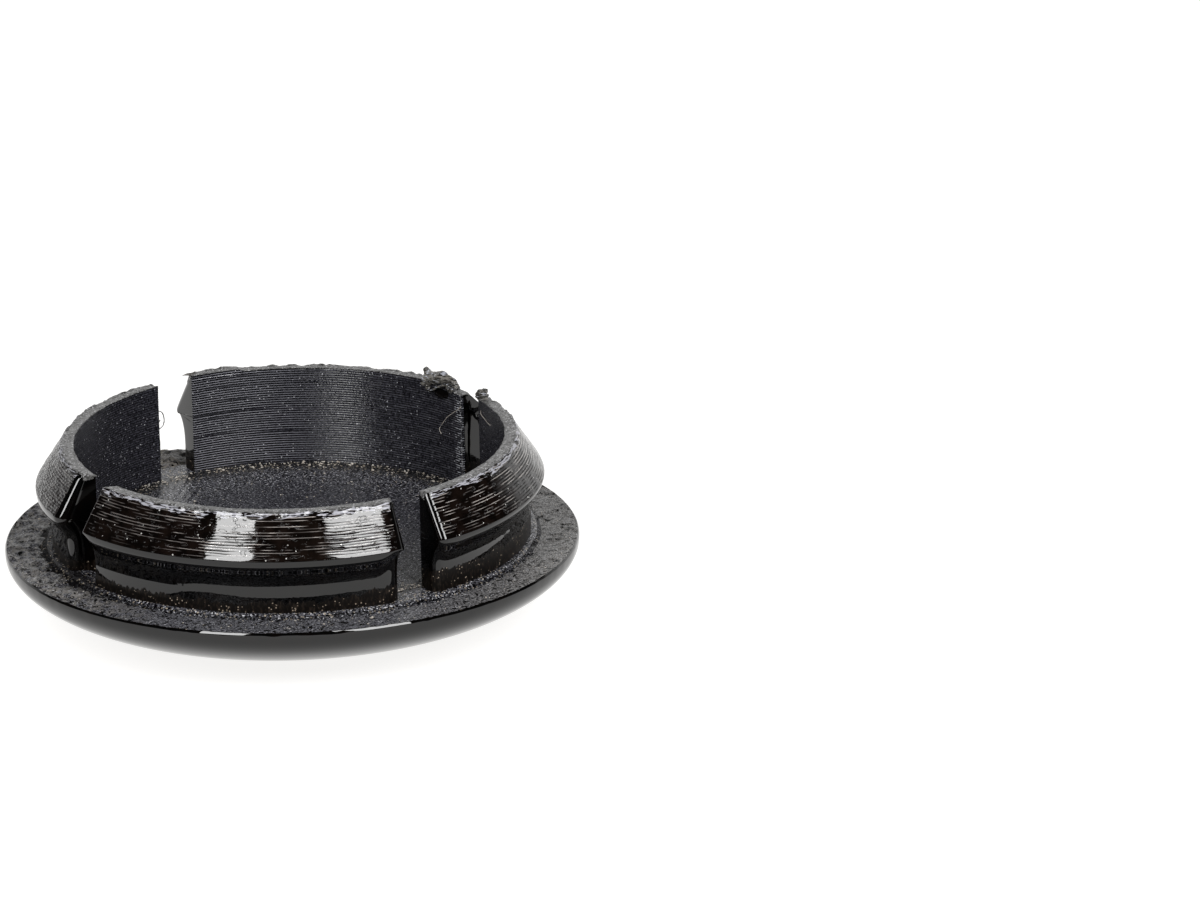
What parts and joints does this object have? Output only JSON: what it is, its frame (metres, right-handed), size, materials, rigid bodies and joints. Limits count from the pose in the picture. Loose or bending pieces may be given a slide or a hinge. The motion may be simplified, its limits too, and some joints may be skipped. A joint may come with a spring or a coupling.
{
  "type": "plastic hole plug",
  "caption": "One-piece snap-in plug with a domed head and four sprung fingers, for closing a round hole in a panel.",
  "frame": {"origin": "the crown of the domed head, on the plug's axis", "axes": "+Z along the plug's axis from the dome towards the fingers; the four slots lie on X and Y"},
  "size_m": [0.028, 0.028, 0.0094],
  "materials": {
    "black_plastic": "gloss"
  },
  "bodies": {
    "root": {"plug": "black_plastic"}
  },
  "joints": []
}
